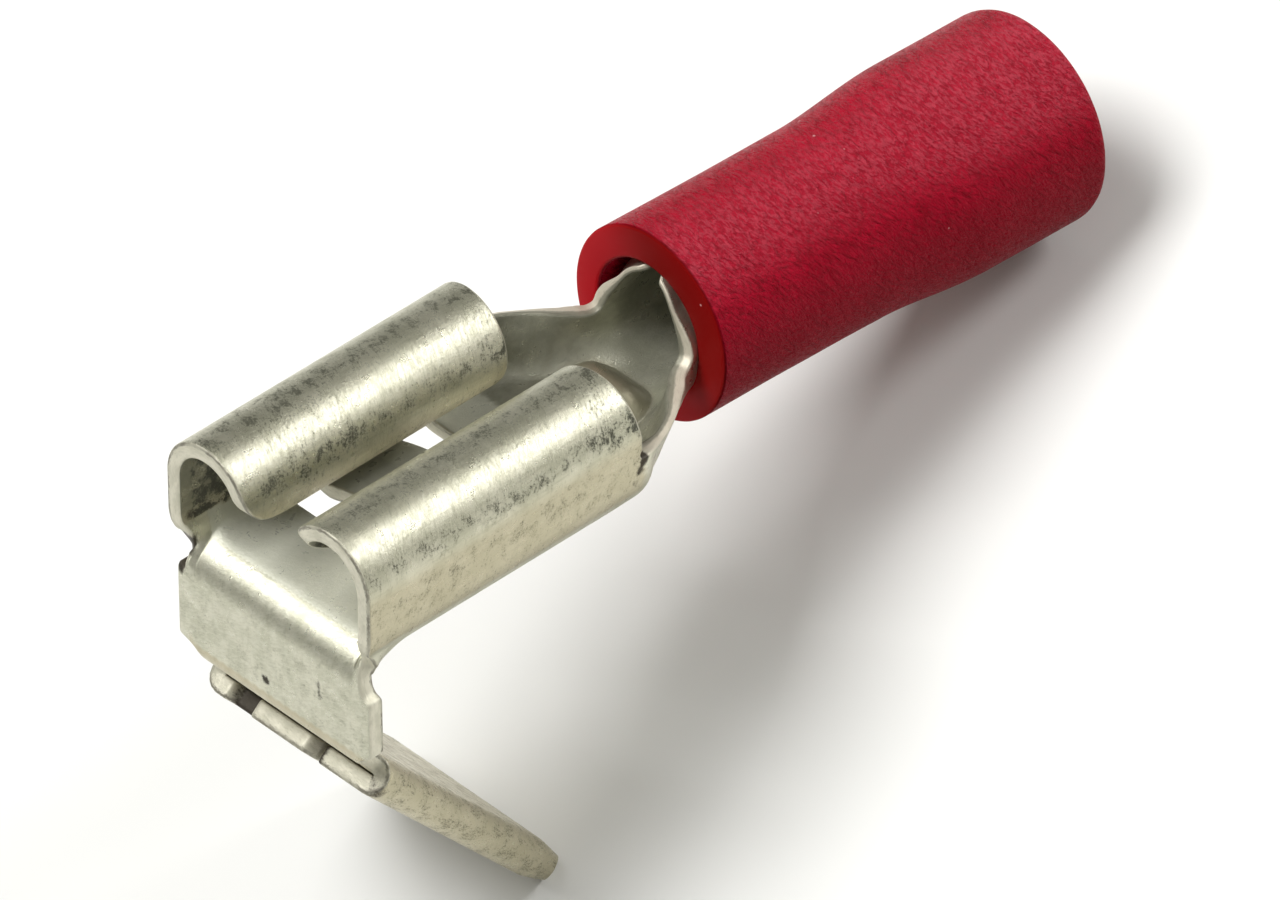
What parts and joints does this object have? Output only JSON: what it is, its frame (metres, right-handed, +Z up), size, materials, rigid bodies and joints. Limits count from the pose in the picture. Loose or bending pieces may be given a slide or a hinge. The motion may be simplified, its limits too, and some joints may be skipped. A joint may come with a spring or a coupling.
{
  "type": "piggyback spade terminal",
  "caption": "Insulated piggyback crimp terminal: rolled spade receptacle, folded male blade turned back under it, and a flared sleeve over the crimp barrel.",
  "frame": {"origin": "on the surface it lies on, midway along and across the whole terminal", "axes": "+X from the front plate towards the wire entry, level; +Y across the receptacle, to the left seen from the wire end; +Z up. The strip is tipped, nose up, as it rests on the blade's tip and the sleeve's rear rim."},
  "size_m": [0.0202, 0.0056, 0.0122],
  "materials": {
    "tinned_brass": "satin tin plate with fine scratches and dark specks",
    "red_vinyl": "satin, finely wrinkled"
  },
  "bodies": {
    "root": {"terminal": "tinned_brass", "insulating_sleeve": "red_vinyl"}
  },
  "joints": []
}
